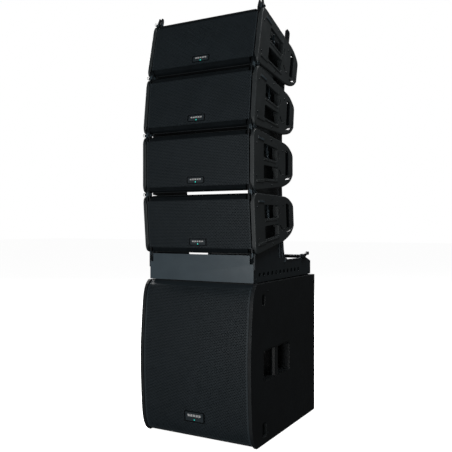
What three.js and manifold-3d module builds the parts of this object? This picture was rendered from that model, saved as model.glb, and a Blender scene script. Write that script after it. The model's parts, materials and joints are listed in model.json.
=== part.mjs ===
// Line array loudspeaker stack: four splayed array modules hinged on a ground
// frame, which stands on a subwoofer. Millimetres, +Z up, -Y is the front.
// The origin lies on the floor, under the middle of the stack.
import * as THREE from 'three';
import { mergeVertices } from 'three/addons/utils/BufferGeometryUtils.js';
import Module from 'manifold-3d';

const wasm = await Module();
wasm.setup();

// ---------------------------------------------------------------- dimensions
// Array module. Its own frame: x across, y back from the front, z up from the
// hinge line under it.
const PITCH = 245;               // hinge line to hinge line, along the front
const TAPER = 0.1007;            // each end face slopes 5.75 degrees to the back
const CHEEK_GAP = 2.9;           // cheek edge to hinge line at the front
const CAB_GAP = 3.6;             // cabinet edge to hinge line at the front
const HALF = 259;                // outer face of a cheek
const PROUD = 2.5;               // ridge, rails and pads stand out of it by this much
const CHAMFER = 3;               // round its outer edge
const WALL_IN = 248.5;           // inner face of the cheek's outer wall
const CAB_HALF = 222;            // side wall of the cabinet
const SKIRT = [222.4, 226];      // cheek's inner wall
const EAR_IN = [228, 233.5];     // rigging steel, three planes across
const TONGUE = [234.5, 240];
const EAR_OUT = [241, 246.5];
const REAR = 371;                // rear of the handle bars
const CAB_REAR = 334;            // rear of the cabinet
const AXIS_Y = 15;               // hinge pin behind the front
const FORK_TIP = 30;             // fork tips above the hinge line
const ARM = { y: [248, 285], top: 34, hole: [266, 18] };   // rear arm, heights above the hinge line
const WINDOW = [82, 207];        // cheek windows, front to back
const SLOT = [291, 322.5];       // handle slot, front to back
const PIN_R = 4.6;
const HOLE_R = 5.2;
const CLEAR = 242;               // inside this, a cheek is cut away where the ground frame passes
const STRIP = 241;               // inner edge of the cheek's front strip
const GRILLE_HALF = 236;
const WOOFER_X = 128;
const WOOFER_R = 83;
const BAFFLE = [26, 38];
const TILTS = { 4: -5, 3: 0, 2: 6.5, 1: 13 };   // degrees, top leaning back
const FOOT_PIVOT = [-286, 738.5];               // hinge line under module 4 (y, z)

// Subwoofer
const SUB_HALF = 255;
const SUB_FRONT = -276;          // line of the front corners
const SUB_REAR = 329.5;
const SUB_PANEL = 320;           // floor of the recess that holds the rear panel
const SUB_TOP = 630;
const SUB_BOTTOM = 3;
const SUB_WALL = 18;
const SUB_INNER = 241;           // inner face of the side walls at the grille
const SUB_BAFFLE = [-262, -238];
const DRIVER_R = 228;
const DRIVER_Z = 335;
const CUP = { y: [-218, 38], z: [246, 368], depth: 62 };
const GRIP_Y = -93;

// Ground frame
const FR_HALF = 241;
const FR_WALL = 5;
const FR_FRONT = -278.3;
const FR_REAR = 311;
const FR_Z = [634, 712];
const FR_PANEL_TOP = 740;
const HOLES = { first: -225, pitch: 39.1, count: 11, z: 663, r: 9 };
const BAR = { y: 214, z: 717, r: 8 };

// ------------------------------------------------------------------ materials
const paint = (color, roughness, metalness = 0) =>
  new THREE.MeshStandardMaterial({ color, roughness, metalness });
const MATS = {
  cabinet: paint(0x1d1f20, 0.75), cheek: paint(0x34373a, 0.5), grille: paint(0x23282a, 0.6, 0.5),
  badge: paint(0x0b0c0d, 0.3), steel: paint(0x6d7276, 0.4, 0.9), driver: paint(0x161718, 0.7),
  horn: paint(0x141516, 0.5), amp: paint(0x26282a, 0.5, 0.4), frame: paint(0x4b5054, 0.45, 0.4),
  rubber: paint(0x101011, 0.9), sub: paint(0x17191b, 0.7),
};

// -------------------------------------------------------------------- helpers
const volume = (pos, idx) => {
  let v = 0;
  const a = new THREE.Vector3(), b = new THREE.Vector3(), c = new THREE.Vector3();
  for (let i = 0; i < idx.length; i += 3) {
    a.fromArray(pos, idx[i] * 3);
    b.fromArray(pos, idx[i + 1] * 3);
    c.fromArray(pos, idx[i + 2] * 3);
    v += a.dot(b.cross(c));
  }
  return v;
};

// Closed three.js geometry -> solid, with the faces turned outwards.
function solid(geometry) {
  const g = geometry.clone();
  for (const name of Object.keys(g.attributes)) if (name !== 'position') g.deleteAttribute(name);
  const merged = mergeVertices(g, 1e-4);
  const vertProperties = new Float32Array(merged.attributes.position.array);
  let tri = Array.from(merged.index.array);
  const kept = [];
  for (let i = 0; i < tri.length; i += 3) {
    const [a, b, c] = [tri[i], tri[i + 1], tri[i + 2]];
    if (a !== b && b !== c && a !== c) kept.push(a, b, c);
  }
  tri = kept;
  if (volume(vertProperties, tri) < 0) {
    for (let i = 0; i < tri.length; i += 3) [tri[i + 1], tri[i + 2]] = [tri[i + 2], tri[i + 1]];
  }
  return new wasm.Manifold(new wasm.Mesh({ numProp: 3, vertProperties, triVerts: new Uint32Array(tri) }));
}

function toGeometry(body) {
  const m = body.getMesh();
  const g = new THREE.BufferGeometry();
  g.setAttribute('position', new THREE.BufferAttribute(new Float32Array(m.vertProperties), 3));
  g.setIndex(new THREE.BufferAttribute(new Uint32Array(m.triVerts), 1));
  const flat = g.toNonIndexed();
  flat.computeVertexNormals();
  return flat;
}

const join = (...list) => list.reduce((a, b) => a.add(b));
const cut = (body, ...tools) => tools.reduce((a, b) => a.subtract(b), body);
const sorted = (a, b) => (a < b ? [a, b] : [b, a]);

function block(x, y, z) {
  const [x0, x1] = sorted(...x), [y0, y1] = sorted(...y), [z0, z1] = sorted(...z);
  const g = new THREE.BoxGeometry(x1 - x0, y1 - y0, z1 - z0);
  return solid(g.translate((x0 + x1) / 2, (y0 + y1) / 2, (z0 + z1) / 2));
}

const toShape = (pts) => new THREE.Shape(pts.map(([a, b]) => new THREE.Vector2(a, b)));

// Outline in (y, z), extruded along x.
function slabX(pts, x) {
  const [x0, x1] = sorted(...x);
  const g = new THREE.ExtrudeGeometry(toShape(pts), { depth: x1 - x0, bevelEnabled: false });
  const m = new THREE.Matrix4().makeBasis(
    new THREE.Vector3(0, 1, 0), new THREE.Vector3(0, 0, 1), new THREE.Vector3(1, 0, 0));
  return solid(g.applyMatrix4(m).translate(x0, 0, 0));
}

// The same with its outer edge chamfered: x runs from the inner face to the outer one.
function chamferedX(pts, inner, outer, c) {
  const out = Math.sign(outer - inner);
  const g = new THREE.ExtrudeGeometry(toShape(pts), {
    depth: Math.abs(outer - inner), bevelThickness: c, bevelSize: c, bevelOffset: -c, bevelSegments: 1 });
  const m = new THREE.Matrix4().makeBasis(
    new THREE.Vector3(0, 1, 0), new THREE.Vector3(0, 0, 1), new THREE.Vector3(1, 0, 0));
  const body = solid(g.applyMatrix4(m).translate(Math.min(inner, outer) - out * c, 0, 0));
  return body.subtract(block([inner, inner - out * 50], [-500, 500], [-500, 1000]));
}

// Outline in (x, y), extruded along z.
function slabZ(pts, z) {
  const [z0, z1] = sorted(...z);
  const g = new THREE.ExtrudeGeometry(toShape(pts), { depth: z1 - z0, bevelEnabled: false });
  return solid(g.translate(0, 0, z0));
}

// Outline in (x, z), extruded along y.
function slabY(pts, y) {
  const [y0, y1] = sorted(...y);
  const g = new THREE.ExtrudeGeometry(toShape(pts), { depth: y1 - y0, bevelEnabled: false });
  return solid(g.rotateX(Math.PI / 2).translate(0, y1, 0));
}

function rod(axis, a, b, r, span, seg = 16) {
  const [s0, s1] = sorted(...span);
  const g = new THREE.CylinderGeometry(r, r, s1 - s0, seg);
  const mid = (s0 + s1) / 2;
  if (axis === 'x') g.rotateZ(Math.PI / 2).translate(mid, a, b);
  if (axis === 'y') g.translate(a, mid, b);
  if (axis === 'z') g.rotateX(Math.PI / 2).translate(a, b, mid);
  return solid(g);
}

// Solid of revolution about y; the profile is [radius, y] from axis to axis.
function lathe(profile, x, y, z, seg) {
  const g = new THREE.LatheGeometry(profile.map(([r, h]) => new THREE.Vector2(r, h)), seg);
  return solid(g.translate(x, y, z));
}

// Four-sided taper along y, [half width, half height] at each end.
function taper(front, back, y, x, z) {
  const g = new THREE.BoxGeometry(2, y[1] - y[0], 2);
  const p = g.attributes.position;
  for (let i = 0; i < p.count; i++) {
    const end = p.getY(i) < 0 ? front : back;
    p.setX(i, p.getX(i) * end[0]);
    p.setZ(i, p.getZ(i) * end[1]);
  }
  return solid(g.translate(x, (y[0] + y[1]) / 2, z));
}

// Polygon with every corner rounded to radius r.
function rounded(pts, r, steps = 3) {
  const out = [];
  pts.forEach((p, i) => {
    const a = pts[(i + pts.length - 1) % pts.length], b = pts[(i + 1) % pts.length];
    const la = Math.hypot(a[0] - p[0], a[1] - p[1]), lb = Math.hypot(b[0] - p[0], b[1] - p[1]);
    const ra = Math.min(r, la * 0.45) / la, rb = Math.min(r, lb * 0.45) / lb;
    const s = [p[0] + (a[0] - p[0]) * ra, p[1] + (a[1] - p[1]) * ra];
    const e = [p[0] + (b[0] - p[0]) * rb, p[1] + (b[1] - p[1]) * rb];
    for (let k = 0; k <= steps; k++) {
      const t = k / steps, u = 1 - t;
      out.push([0, 1].map((axis) => u * u * s[axis] + 2 * u * t * p[axis] + t * t * e[axis]));
    }
  });
  return out;
}

// Smooth line through the points.
const curve = (pts, steps) => new THREE.SplineCurve(pts.map(([a, b]) => new THREE.Vector2(a, b)))
  .getPoints(steps).map((p) => [p.x, p.y]);
const rect = (a0, a1, b0, b1) => [[a0, b0], [a1, b0], [a1, b1], [a0, b1]];
const side = (s, [a, b]) => sorted(s * a, s * b);

function mesh(name, body, material) {
  const m = new THREE.Mesh(toGeometry(body), material);
  m.name = name;
  return m;
}

// --------------------------------------------------------------- array module
const low = (y, gap = CHEEK_GAP) => gap + TAPER * y;
const high = (y, gap = CHEEK_GAP) => PITCH - gap - TAPER * y;

// Side view of a cheek, handle corner included.
const CHEEK = [
  ...curve([[-2, 36], [0.5, 22], [7, 11], [20, low(20)]], 6),
  ...curve([[262, low(262)], [296, 38], [331, 50], [354, 65], [REAR, 84]], 9),
  ...curve([[REAR, 164], [364, 178], [348, 190], [322, 204], [290, high(290)]], 9),
  ...curve([[20, high(20)], [7, PITCH - 11], [0.5, PITCH - 22], [-2, PITCH - 36]], 6),
];

function cabinet() {
  const hull = (inset, front, rear) => [
    [front, low(front, CAB_GAP + inset)], [290 - inset, low(290, CAB_GAP + inset)],
    [rear, 84 + inset / 2], [rear, 166 - inset / 2],
    [290 - inset, high(290, CAB_GAP + inset)], [front, high(front, CAB_GAP + inset)],
  ];
  const shell = slabX(hull(0, 18, CAB_REAR), [-CAB_HALF, CAB_HALF]);
  const inner = slabX(hull(10, BAFFLE[1], CAB_REAR - 10), [11 - CAB_HALF, CAB_HALF - 11]);
  const recess = slabX([[10, low(10, 16)], [BAFFLE[0], low(26, 16)], [BAFFLE[0], high(26, 16)],
    [10, high(10, 16)]], [11 - CAB_HALF, CAB_HALF - 11]);
  return cut(shell, inner, recess,
    rod('y', -WOOFER_X, PITCH / 2, 75, [20, 45], 20), rod('y', WOOFER_X, PITCH / 2, 75, [20, 45], 20),
    block([-38, 38], [20, 45], [38, PITCH - 38]),
    block([-130, 130], [300, 345], [PITCH / 2 - 32, PITCH / 2 + 32]));
}

function grille() {
  const outer = [[17.6, 8], [8, 9.5], [2, 14], [-1.5, 22]];
  const inner = [[17.6, 10.2], [9, 11.7], [4, 15.4], [0.7, 22.6]];
  const flip = (pts) => pts.map(([y, z]) => [y, PITCH - z]);
  let g = slabX([...outer, ...flip(outer).reverse(), ...flip(inner), ...inner.slice().reverse()],
    [-GRILLE_HALF, GRILLE_HALF]);
  for (const s of [-1, 1]) {
    g = cut(g, block(side(s, [222, 240]), [-5, 25], [0, 27]),
      block(side(s, [222, 240]), [-5, 25], [PITCH - 27, PITCH]));
  }
  return g;
}

function cheek(s) {
  const wall = chamferedX(CHEEK, s * WALL_IN, s * HALF, CHAMFER);
  const post = block(side(s, [STRIP, WALL_IN + 1]), [-2, 5], [24, PITCH - 24])
    .intersect(slabX(CHEEK, side(s, [0, HALF])));
  // Its foot and the jamb's stop short of the skirt, to pass outside the uprights of the ground frame.
  const bulkhead = join(block(side(s, [SKIRT[0], WALL_IN + 1]), [SLOT[0] - 5, SLOT[0]], [106, 204]),
    block(side(s, [CLEAR, WALL_IN + 1]), [SLOT[0] - 5, SLOT[0]], [46, 107]));
  const drop = (y) => low(y) - 3 - 0.15 * y;
  const rise = (y) => high(y) - 5 - 0.13 * y;
  const skirt = slabX([[24, drop(24)], [287, drop(287)], [287, rise(287)], [24, rise(24)]],
    side(s, SKIRT));
  const rib = block(side(s, [SKIRT[1] - 1, WALL_IN + 1]), [WINDOW[0] + 2, WINDOW[1] - 2], [110, 128]);
  const jamb = join(block(side(s, [236, WALL_IN + 1]), [WINDOW[1], WINDOW[1] + 4], [94, 194]),
    block(side(s, [CLEAR, WALL_IN + 1]), [WINDOW[1], WINDOW[1] + 4], [50, 95]));
  const grip = slabX([[SLOT[1] + 0.5, 68], [349, 84], [REAR, 104], [REAR, 182], [SLOT[1] + 0.5, 182]],
    side(s, [232, WALL_IN + 1])).intersect(slabX(CHEEK, side(s, [200, HALF])));
  const ridge = slabZ([[s * (HALF - 1), 194], [s * HALF, 194], [s * (HALF + PROUD), 202],
    [s * (HALF + PROUD), 205], [s * HALF, 211], [s * (HALF - 1), 211]], [46, 197]);
  const pad = (y0, z0, y1, z1, w, proud = PROUD) => slabX(
    [[y0, z0 - w], [y1, z1 - w], [y1, z1 + w], [y0, z0 + w]], side(s, [HALF - 1, HALF + proud]));
  let body = join(wall, post, bulkhead, skirt, rib, jamb, grip, ridge,
    pad(30, 207, 84, 203, 5), pad(18, 41, 84, 43.5, 5), pad(80, 46, 216, 51.5, 2),
    pad(84, 128, 211, 125.6, 3.5, 1.5));
  const through = side(s, [WALL_IN - 0.5, HALF + 5]);
  body = cut(body,
    slabX(rounded([[WINDOW[0], 136], [WINDOW[1], 131], [WINDOW[1], 181], [WINDOW[0], 191]], 5, 1), through),
    slabX(rounded([[WINDOW[0], 54], [WINDOW[1], 58], [WINDOW[1], 106], [WINDOW[0], 106]], 5, 1), through),
    slabX(rounded([[SLOT[0], 58], [SLOT[1], 66], [SLOT[1], 180], [SLOT[0], 184]], 6, 2),
      side(s, [220, HALF + 5])),
    slabX(rounded([[SLOT[0], 58], [331, 67], [355, 82], [355, 90], [SLOT[0], 90]], 5, 2), through),
    slabX(rect(222, 228, 144, 168), through),
    slabX([[226, 95], [231, 100], [251, 80], [246, 75]], through));
  // The front strip's inner corners are cut away to show the hinge.
  const nip = (z0, z1) => slabY([[s * (STRIP - 2), z0], [s * (STRIP - 2), z1], [s * WALL_IN, z0]], [-5, 8]);
  return cut(body, nip(18, 48), nip(PITCH - 18, PITCH - 48));
}

// Hinge steel inside a cheek: fork and rear arm at the top, tongue at the foot.
function rigging(s) {
  const Y = [AXIS_Y - 9, AXIS_Y + 9];
  const foot = FORK_TIP + 6;
  const [y0, y1] = ARM.y;
  const tip = [[-9, 0], [-8, 9], [-3, FORK_TIP], [5, FORK_TIP], [9, 20], [9, 0]]
    .map(([y, z]) => [AXIS_Y + y, PITCH + z]);
  const heel = [[-9, 0], [-7, -8], [0, -11], [7, -8], [9, 0]].map(([y, z]) => [AXIS_Y + y, z]);
  const plate = slabX([[6, foot], ...tip, [24, high(24) - 36], [y1, high(y1) - 36],
    [y1, high(y1) - 62], [34, high(34) - 62], [34, foot]], side(s, EAR_IN));
  const ear = slabX([[6, PITCH - 62], ...tip, [24, PITCH - 62]], side(s, EAR_OUT));
  const tongue = slabX([[6, 60], ...heel, [24, 60]], side(s, TONGUE));
  const top = PITCH + ARM.top;
  const arm = slabX([[y0, 148], [y1, 148], [y1, top - 8], [y1 - 7, top], [y0 + 9, top], [y0, top - 12]],
    side(s, EAR_OUT));
  const body = join(plate, ear, tongue, arm,
    block(side(s, [EAR_IN[1] - 1, TONGUE[1]]), Y, [foot + 3, 60]),
    block(side(s, [EAR_IN[1] - 1, EAR_OUT[1]]), Y, [PITCH - 62, PITCH - 42]),
    block(side(s, [EAR_IN[1] - 1, EAR_OUT[1]]), ARM.y, [156, 178]),
    rod('x', AXIS_Y, PITCH, PIN_R, side(s, [EAR_IN[0], EAR_OUT[1] + 1]), 10));
  return cut(body, rod('x', AXIS_Y, 0, HOLE_R, side(s, [TONGUE[0] - 1, TONGUE[1] + 1]), 12),
    rod('x', ARM.hole[0], PITCH + ARM.hole[1], 4.5, side(s, [EAR_OUT[0] - 1, EAR_OUT[1] + 1]), 8));
}

function woofer(s) {
  return lathe([[0, 14], [24, 22], [63, 3], [69, -1.5], [75, 2], [WOOFER_R, 2], [WOOFER_R, 5],
    [72, 5], [46, 52], [46, 78], [0, 78]], s * WOOFER_X, BAFFLE[0] - 5.3, PITCH / 2, 16);
}

function horn() {
  const h = PITCH / 2;
  const outer = taper([37, h - 40], [24, 34], [BAFFLE[0] - 1, 96], 0, h);
  const flare = taper([34, h - 44], [12, 30], [BAFFLE[0] - 8, 90], 0, h);
  const flange = block([-43, 43], [BAFFLE[0] - 3.3, BAFFLE[0] - 0.3], [31, PITCH - 31]);
  return cut(join(flange, outer, rod('y', 0, h, 42, [95, 150], 14)), flare);
}

function amplifier() {
  const h = PITCH / 2;
  const y = CAB_REAR;
  const face = slabY(rounded(rect(-142, 142, h - 39, h + 39), 5, 2), [y + 0.3, y + 3.5]);
  const chassis = block([-126, 126], [y - 46, y + 1], [h - 28, h + 28]);
  const fins = Array.from({ length: 5 }, (_, i) =>
    block([-134 + i * 13, -131 + i * 13], [y + 3, y + 14], [h - 32, h + 32]));
  const socket = (x, z, r) => block([x - r, x + r], [y + 3, y + 6], [z - r, z + r]);
  const bores = (x, z, r) => rod('y', x, z, r, [y - 8, y + 9], 10);
  const at = [[-40, 14, 13], [-40, -16, 13], [-4, 14, 12], [-4, -16, 12]];
  const knob = rod('y', 92, h, 9, [y + 3, y + 15], 12);
  const screen = block([28, 72], [y + 3, y + 5], [h - 18, h + 18]);
  return cut(join(face, chassis, ...fins, ...at.map(([x, z, r]) => socket(x, h + z, r)), knob, screen),
    ...at.map(([x, z, r]) => bores(x, h + z, r - 3)));
}

function badge(w, h, depth) {
  return slabY(rounded(rect(-w / 2, w / 2, -h / 2, h / 2), 3, 2), [0, depth]);
}

// A fork holds the tongue of the module above, so both share the pin's axis:
// the upper module is placed from the pin, not from the hinge line.
function place(n) {
  const g = new THREE.Group();
  const t = THREE.MathUtils.degToRad(TILTS[n]);
  const at = new THREE.Vector2(0, 0);
  if (n === 4) at.set(...FOOT_PIVOT);
  else at.copy(pinAbove(n + 1)).sub(turned(AXIS_Y, 0, t));
  g.position.set(0, at.x, at.y);
  g.rotation.x = -t;
  return g;
}
const turned = (y, z, t) => new THREE.Vector2(
  y * Math.cos(t) + z * Math.sin(t), z * Math.cos(t) - y * Math.sin(t));
function pinAbove(n) {
  const t = THREE.MathUtils.degToRad(TILTS[n]);
  const g = place(n);
  return new THREE.Vector2(g.position.y, g.position.z).add(turned(AXIS_Y, PITCH, t));
}

function module(n) {
  const g = place(n);
  const plate = mesh(`m${n}_badge`, badge(80, 26, 2.4), MATS.badge);
  plate.position.set(0, -4.2, 51);
  g.add(
    mesh(`m${n}_cabinet`, cabinet(), MATS.cabinet),
    mesh(`m${n}_cheek_left`, cheek(-1), MATS.cheek), mesh(`m${n}_cheek_right`, cheek(1), MATS.cheek),
    mesh(`m${n}_grille`, grille(), MATS.grille), plate,
    mesh(`m${n}_rigging_left`, rigging(-1), MATS.steel), mesh(`m${n}_rigging_right`, rigging(1), MATS.steel),
    mesh(`m${n}_woofer_left`, woofer(-1), MATS.driver), mesh(`m${n}_woofer_right`, woofer(1), MATS.driver),
    mesh(`m${n}_horn`, horn(), MATS.horn), mesh(`m${n}_amplifier`, amplifier(), MATS.amp));
  return g;
}

// ------------------------------------------------------------------ subwoofer
// Front edge of the side walls, top to bottom, as depth ahead of the corners.
const BULGE = curve([
  [0, SUB_TOP], [18, 612], [30, 585], [38, 545], [46, 464], [51.5, 390], [53.5, 320],
  [52, 240], [48, 160], [42, 90], [34, 52], [20, 22], [0, SUB_BOTTOM],
], 24);
const bulge = (inset) => BULGE.map(([d, z], i) => {
  const a = BULGE[Math.max(i - 1, 0)], b = BULGE[Math.min(i + 1, BULGE.length - 1)];
  const t = new THREE.Vector2(b[0] - a[0], b[1] - a[1]).normalize();
  return [SUB_FRONT - d - t.y * inset, z + t.x * -inset];
});

function subCabinet() {
  const front = bulge(0);
  const outline = [[SUB_REAR, SUB_BOTTOM], [SUB_REAR, SUB_TOP], ...front];
  const core = block([-SUB_INNER - 1, SUB_INNER + 1], [SUB_BAFFLE[0], SUB_REAR], [SUB_BOTTOM, SUB_TOP]);
  let body = join(core, slabX(outline, [SUB_INNER, SUB_HALF]), slabX(outline, [-SUB_HALF, -SUB_INNER]));
  const w = SUB_HALF - SUB_WALL;
  body = cut(body,
    block([-w, w], [SUB_BAFFLE[1], SUB_REAR - SUB_WALL], [SUB_BOTTOM + SUB_WALL, SUB_TOP - SUB_WALL]),
    rod('y', 0, DRIVER_Z, 212, [SUB_BAFFLE[0] - 5, SUB_BAFFLE[1] + 5], 40),
    block([-222, -12], [SUB_BAFFLE[0] - 5, SUB_BAFFLE[1] + 5], [34, 92]),
    block([12, 222], [SUB_BAFFLE[0] - 5, SUB_BAFFLE[1] + 5], [34, 92]),
    block([-150, 150], [SUB_PANEL, SUB_REAR + 5], [130, 510]),
    block([-130, 130], [SUB_PANEL - 40, SUB_PANEL + 5], [150, 490]));
  for (const s of [-1, 1]) {
    body = cut(body,
      slabX(rounded(rect(CUP.y[0], CUP.y[1], CUP.z[0], CUP.z[1]), 14), side(s, [w - 5, SUB_HALF + 5])),
      slabX(rounded(rect(-230, -204, 544, 586), 9), side(s, [SUB_HALF - 11, SUB_HALF + 5])),
      slabX(rounded(rect(-228, -192, 30, 86), 9), side(s, [SUB_HALF - 11, SUB_HALF + 5])));
  }
  return body;
}

function subGrille() {
  const outer = bulge(3.5).filter(([, z]) => z > 12 && z < SUB_TOP - 8);
  const inner = bulge(6).filter(([, z]) => z > 12 && z < SUB_TOP - 8);
  const y = SUB_BAFFLE[0] - 6.5;
  const top = SUB_TOP - 3, foot = SUB_BOTTOM + 3;
  return slabX([[y, top], ...outer, [y, foot], [y, foot + 2.6], ...inner.slice().reverse(), [y, top - 2.6]],
    [-239.4, 239.4]);
}

function subDriver() {
  return lathe([[0, 52], [58, 38], [74, 66], [178, 12], [192, -6], [206, 4], [DRIVER_R, 4], [DRIVER_R, 10],
    [209, 10], [206, 34], [112, 150], [112, 196], [0, 196]], 0, SUB_BAFFLE[0] - 10.3, DRIVER_Z, 24);
}

function subAmplifier() {
  const y = SUB_PANEL;
  const face = slabY(rounded(rect(-146, 146, 134, 506), 8, 2), [y + 0.3, y + 3.2]);
  const chassis = block([-126, 126], [y - 90, y + 1], [156, 484]);
  const fins = Array.from({ length: 10 }, (_, i) =>
    block([-132, 132], [y + 3, y + 9.5], [330 + i * 15, 333 + i * 15]));
  const at = [[-90, 290, 15], [-90, 250, 15], [-40, 290, 12], [-40, 250, 12], [10, 290, 12], [10, 250, 12]];
  return cut(join(face, chassis, ...fins, block([-110, -60], [y + 3, y + 7], [176, 210]),
    ...at.map(([x, z, r]) => block([x - r, x + r], [y + 3, y + 6], [z - r, z + r]))),
    ...at.map(([x, z, r]) => rod('y', x, z, r - 3, [y - 10, y + 9], 12)));
}

// Moulded side cup with an upright grip bar.
function grip(s) {
  const [y0, y1] = CUP.y, [z0, z1] = CUP.z;
  const c = 0.6, t = 3.5;
  const cup = slabX(rounded(rect(y0 + c, y1 - c, z0 + c, z1 - c), 14),
    side(s, [SUB_HALF - CUP.depth, SUB_HALF - 0.4]));
  const hollow = slabX(rounded(rect(y0 + t, y1 - t, z0 + t, z1 - t), 12),
    side(s, [SUB_HALF - CUP.depth + t, SUB_HALF + 5]));
  const bar = block(side(s, [SUB_HALF - 26, SUB_HALF - 2]), [GRIP_Y - 17, GRIP_Y + 17], [z0 + 1, z1 - 1]);
  const soft = rod('z', s * (SUB_HALF - 14), GRIP_Y, 17, [z0 + 1.5, z1 - 1.5], 20);
  return join(cut(cup, hollow), bar.intersect(soft));
}

// --------------------------------------------------------------- ground frame
function frameBody() {
  const [z0, z1] = FR_Z;
  const wall = [
    [FR_FRONT, z0], [FR_REAR, z0], [FR_REAR, 694], [255, z1], [238, z1], [228, 728], [200, 728], [190, z1],
    [46, z1], [29, 716], [17, 728], [9, 753], [4, 788], [2, 812], [-10, 814], [-238, 776],
    [-248, 768], [-252, z1], [FR_FRONT, z1],
  ];
  const pinY = FOOT_PIVOT[0] + AXIS_Y * Math.cos(THREE.MathUtils.degToRad(TILTS[4]));
  const pinZ = FOOT_PIVOT[1] - AXIS_Y * Math.sin(THREE.MathUtils.degToRad(TILTS[4]));
  let body = block([-FR_HALF, FR_HALF], [FR_FRONT, FR_FRONT + FR_WALL], [z0, FR_PANEL_TOP]);
  body = join(body, block([-FR_HALF, FR_HALF], [FR_REAR - 24, FR_REAR], [z0, z0 + 26]));
  for (const s of [-1, 1]) {
    body = cut(body, block(side(s, [225, FR_HALF + 5]), [-290, -260], [706, FR_PANEL_TOP + 5]));
    body = join(body, slabX(wall, side(s, [FR_HALF - FR_WALL, FR_HALF])),
      block(side(s, [214, FR_HALF]), [-278, 300], [z0, z0 + 4]),
      block(side(s, [214, 217.5]), [-270, 298], [z0, z0 + 62]),
      block(side(s, [EAR_IN[0], FR_HALF - 1]), [-273.5, -250], [684, 706]));
    for (const span of [EAR_IN, [FR_HALF - 0.5, EAR_OUT[1]]]) {
      body = join(body, slabX([[pinY - 6, 684], [pinY - 6, pinZ + 6], [pinY, pinZ + 11], [pinY + 6, pinZ + 9],
        [pinY + 9, pinZ], [pinY + 9, 684]], side(s, span)));
    }
    body = join(body, rod('x', pinY, pinZ, PIN_R, side(s, [EAR_IN[0], EAR_OUT[1] + 1]), 10));
    for (let i = 0; i < HOLES.count; i++) {
      body = cut(body, rod('x', HOLES.first + i * HOLES.pitch, HOLES.z, HOLES.r,
        side(s, [FR_HALF - 10, FR_HALF + 3]), 10));
    }
    body = cut(body, rod('x', BAR.y, BAR.z, BAR.r + 0.6, side(s, [FR_HALF - 10, FR_HALF + 3]), 16));
    for (const y of [-240, 250]) {
      body = join(body, block(side(s, [216, 238]), [y, y + 36], [SUB_TOP + 0.3, z0 + 1]));
    }
  }
  return body;
}

function crossbar() {
  return join(rod('x', BAR.y, BAR.z, BAR.r, [-243, 243], 16), rod('x', BAR.y, BAR.z, 12, [-247, -242.6], 16),
    rod('x', BAR.y, BAR.z, 5.6, [242, 253], 12));
}

function lever() {
  const tip = [250, 730];
  const arm = slabX([[BAR.y - 4, BAR.z - 8], [BAR.y + 4, BAR.z - 8], [tip[0] + 2, tip[1] - 5],
    [tip[0] - 1, tip[1] + 5], [BAR.y - 6, BAR.z + 7]], [244, 250]);
  const boss = rod('x', BAR.y, BAR.z, 12, [243.6, 251], 16);
  return cut(join(arm, boss, rod('x', tip[0], tip[1], 8, [243.6, 256], 12)),
    rod('x', BAR.y, BAR.z, 6, [240, 258], 12));
}

// ------------------------------------------------------------------- assembly
const stack = new THREE.Group();

const subBadge = mesh('sub_badge', badge(92, 43, 3), MATS.badge);
const lean = Math.atan2(10, 110);
subBadge.position.set(0, SUB_FRONT - 44.4, 100);
subBadge.rotation.x = lean;
const knob = mesh('sub_knob', join(rod('y', 0, 0, 12, [0, 4.4], 24),
  block([-1.5, 1.5], [4, 6], [-11, 11])), MATS.rubber);
knob.position.set(70, SUB_PANEL + 3.6, 270);
stack.add(
  mesh('sub_cabinet', subCabinet(), MATS.sub), mesh('sub_grille', subGrille(), MATS.grille), subBadge,
  mesh('sub_driver', subDriver(), MATS.driver), mesh('sub_amplifier', subAmplifier(), MATS.amp), knob,
  mesh('sub_grip_left', grip(-1), MATS.rubber), mesh('sub_grip_right', grip(1), MATS.rubber));
for (const [name, s] of [['left', -1], ['right', 1]]) {
  stack.add(mesh(`sub_runner_${name}`,
    block(side(s, [150, 205]), [-225, 285], [0, SUB_BOTTOM - 0.3]), MATS.rubber));
}
stack.add(mesh('frame_body', frameBody(), MATS.frame), mesh('frame_crossbar', crossbar(), MATS.steel),
  mesh('frame_lever', lever(), MATS.steel));
for (const n of [4, 3, 2, 1]) stack.add(module(n));

export default stack;
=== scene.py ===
"""Looks for the line array stack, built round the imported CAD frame. Metres, +Z up, -Y is the front."""
import json
import math

import bmesh
import bpy
from mathutils import Matrix, Vector


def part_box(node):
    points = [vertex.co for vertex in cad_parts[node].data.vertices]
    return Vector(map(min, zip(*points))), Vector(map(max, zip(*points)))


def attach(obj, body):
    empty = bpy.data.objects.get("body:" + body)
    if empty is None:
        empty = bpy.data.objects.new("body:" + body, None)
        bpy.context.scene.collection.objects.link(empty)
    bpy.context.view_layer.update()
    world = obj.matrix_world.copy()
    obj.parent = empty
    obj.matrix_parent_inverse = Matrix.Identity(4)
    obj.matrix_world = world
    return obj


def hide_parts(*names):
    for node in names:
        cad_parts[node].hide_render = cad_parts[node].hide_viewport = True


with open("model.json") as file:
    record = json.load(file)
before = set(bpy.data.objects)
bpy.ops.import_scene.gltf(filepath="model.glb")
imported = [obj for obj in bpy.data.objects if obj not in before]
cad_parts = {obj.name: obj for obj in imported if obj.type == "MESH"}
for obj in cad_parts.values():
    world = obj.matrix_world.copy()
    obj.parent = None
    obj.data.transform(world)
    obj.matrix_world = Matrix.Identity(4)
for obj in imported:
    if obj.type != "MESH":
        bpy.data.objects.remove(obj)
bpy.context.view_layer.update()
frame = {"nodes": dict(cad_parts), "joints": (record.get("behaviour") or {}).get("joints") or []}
NODES = frame["nodes"]

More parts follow.
